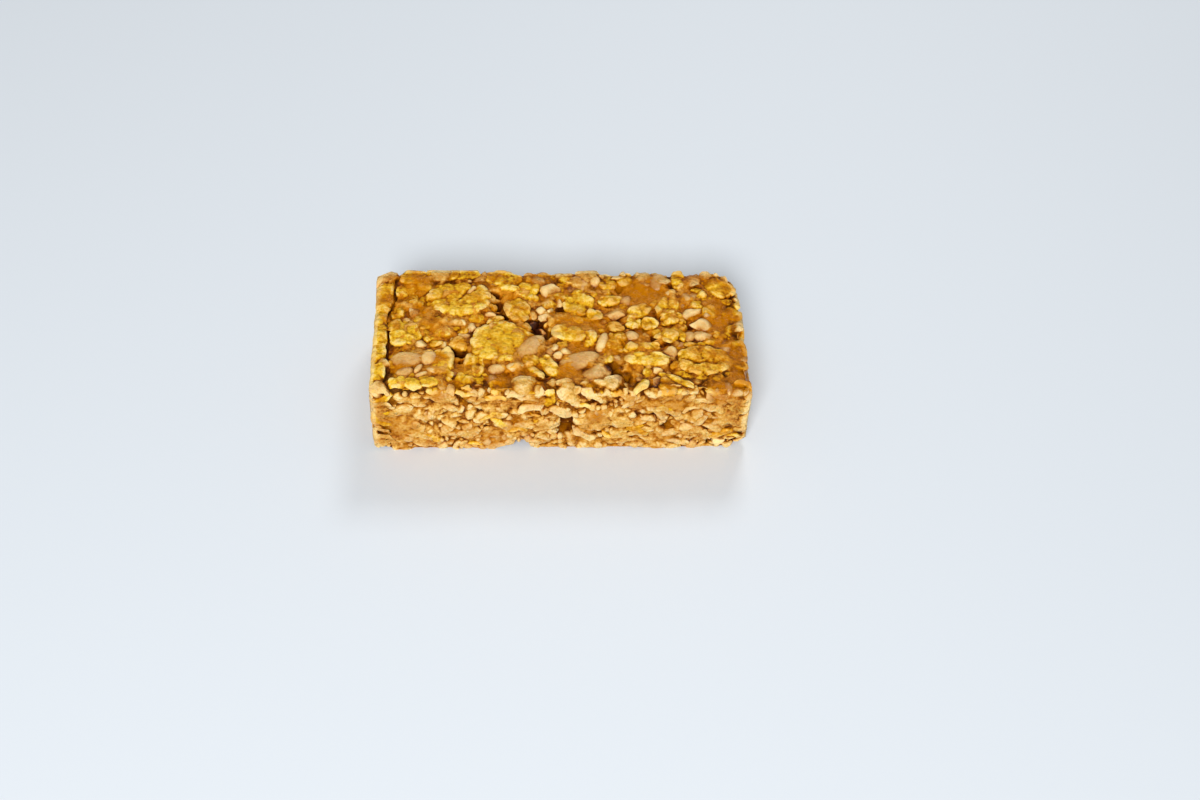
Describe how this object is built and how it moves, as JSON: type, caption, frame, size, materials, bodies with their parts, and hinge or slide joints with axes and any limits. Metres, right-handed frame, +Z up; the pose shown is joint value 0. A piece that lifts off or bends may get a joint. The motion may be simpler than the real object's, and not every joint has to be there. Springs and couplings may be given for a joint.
{
  "type": "granola bar",
  "caption": "Rectangular snack bar of cornflakes and peanuts pressed in caramel, with crumbly cut sides and a flat underside to rest on.",
  "frame": {"origin": "centre of the flat underside", "axes": "+X along the bar, -Y towards the front, +Z up"},
  "size_m": [0.11, 0.051, 0.025],
  "materials": {
    "granola": "sticky caramel crumb of toasted flakes and peanuts; matte_plastic stands in for food",
    "cornflake": "toasted golden flake under a thin caramel glaze; matte_plastic stands in for food",
    "peanut": "roasted peanut, half dull and half glazed; matte_plastic stands in for food"
  },
  "bodies": {
    "root": {"granola_bar": "granola"}
  },
  "joints": []
}
